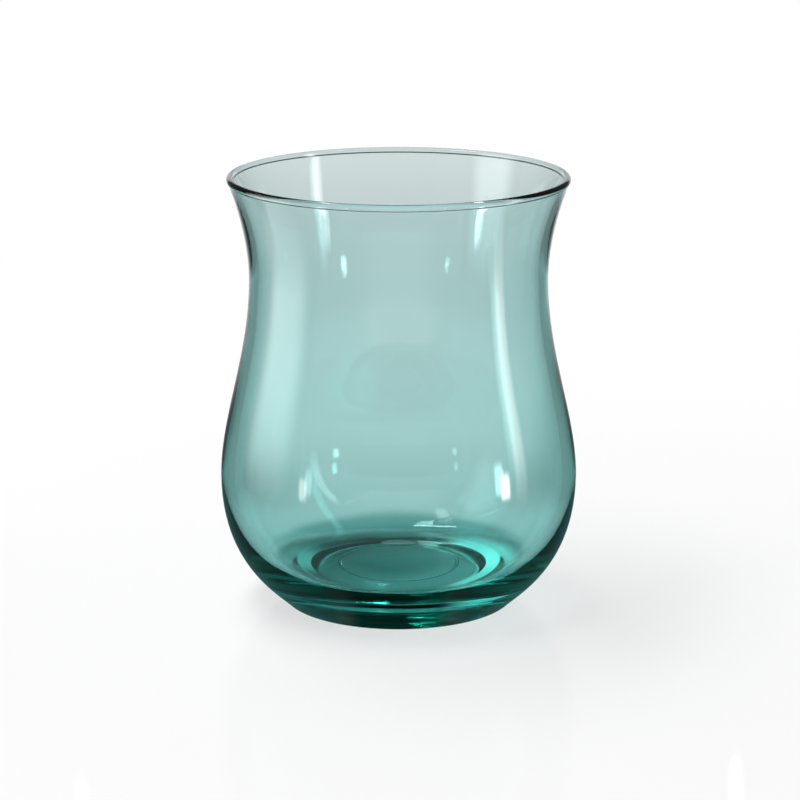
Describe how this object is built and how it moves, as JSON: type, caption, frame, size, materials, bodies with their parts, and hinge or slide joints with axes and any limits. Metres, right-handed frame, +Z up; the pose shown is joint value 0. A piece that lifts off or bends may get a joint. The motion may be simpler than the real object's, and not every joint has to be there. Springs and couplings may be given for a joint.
{
  "type": "tulip tumbler",
  "caption": "Waisted drinking tumbler in tinted glass: flared rim with a melted bead, round belly, heavy base with a shallow hollow under it.",
  "frame": {"origin": "centre of the foot ring, on the table", "axes": "+Z up along the glass's axis, from the foot to the rim; the glass is round, so X and Y are free"},
  "size_m": [0.0782, 0.0782, 0.095],
  "materials": {
    "tinted_glass": "clear blue-green soda-lime glass, smooth and fire-polished"
  },
  "bodies": {
    "root": {"tumbler": "tinted_glass"}
  },
  "joints": []
}
